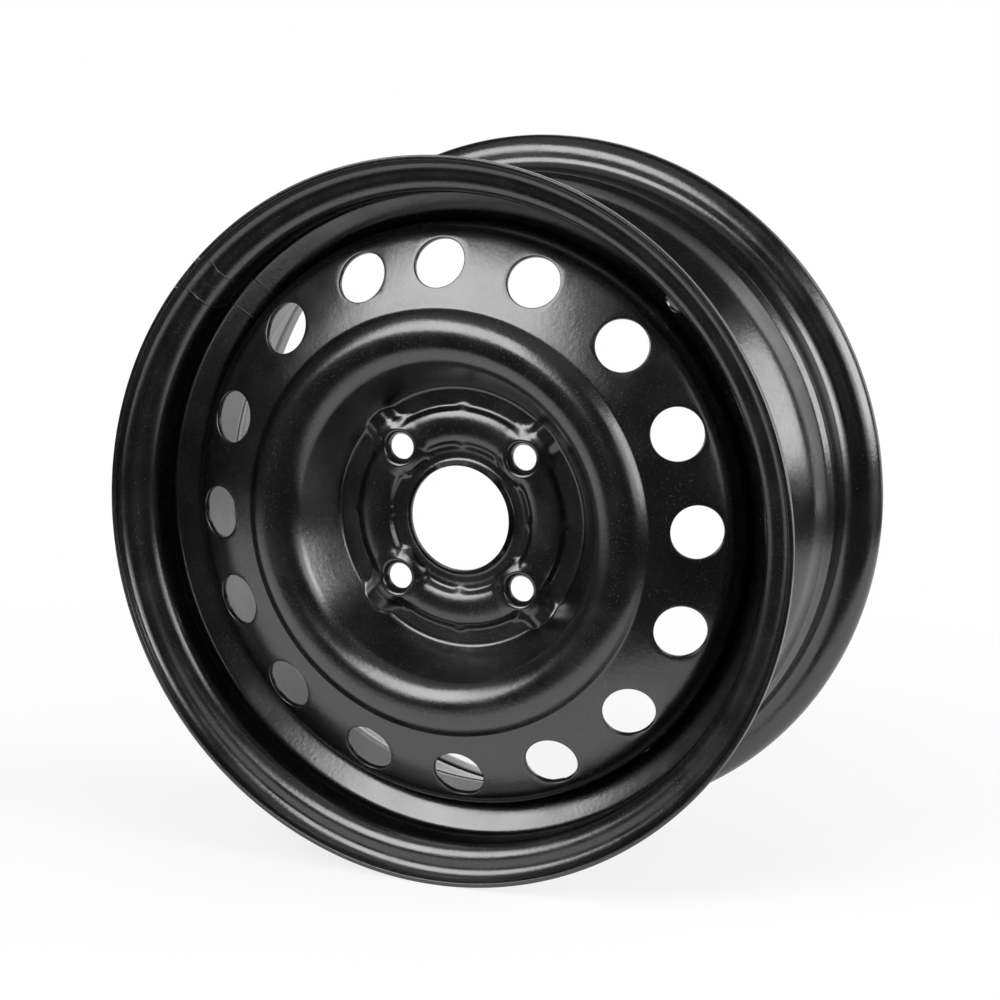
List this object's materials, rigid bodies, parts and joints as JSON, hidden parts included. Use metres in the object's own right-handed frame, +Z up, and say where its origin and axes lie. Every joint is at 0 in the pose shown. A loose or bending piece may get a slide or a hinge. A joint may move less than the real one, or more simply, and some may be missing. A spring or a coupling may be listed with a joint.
{
  "type": "steel wheel",
  "caption": "Pressed steel car wheel: drop-centre rim with rolled flanges, welded disc with round vents, raised bolt crown and a turned-up centre bore, painted black.",
  "frame": {"origin": "on the wheel's axis, midway between the rim's flanges", "axes": "+Y along the wheel's axis to its inboard side, so the outboard face looks along -Y; +Z up"},
  "size_m": [0.3894, 0.162, 0.3892],
  "materials": {
    "black_paint": "semi-gloss black dip paint over steel"
  },
  "bodies": {
    "root": {"rim": "black_paint", "disc": "black_paint", "weld_beads": "black_paint"}
  },
  "joints": []
}
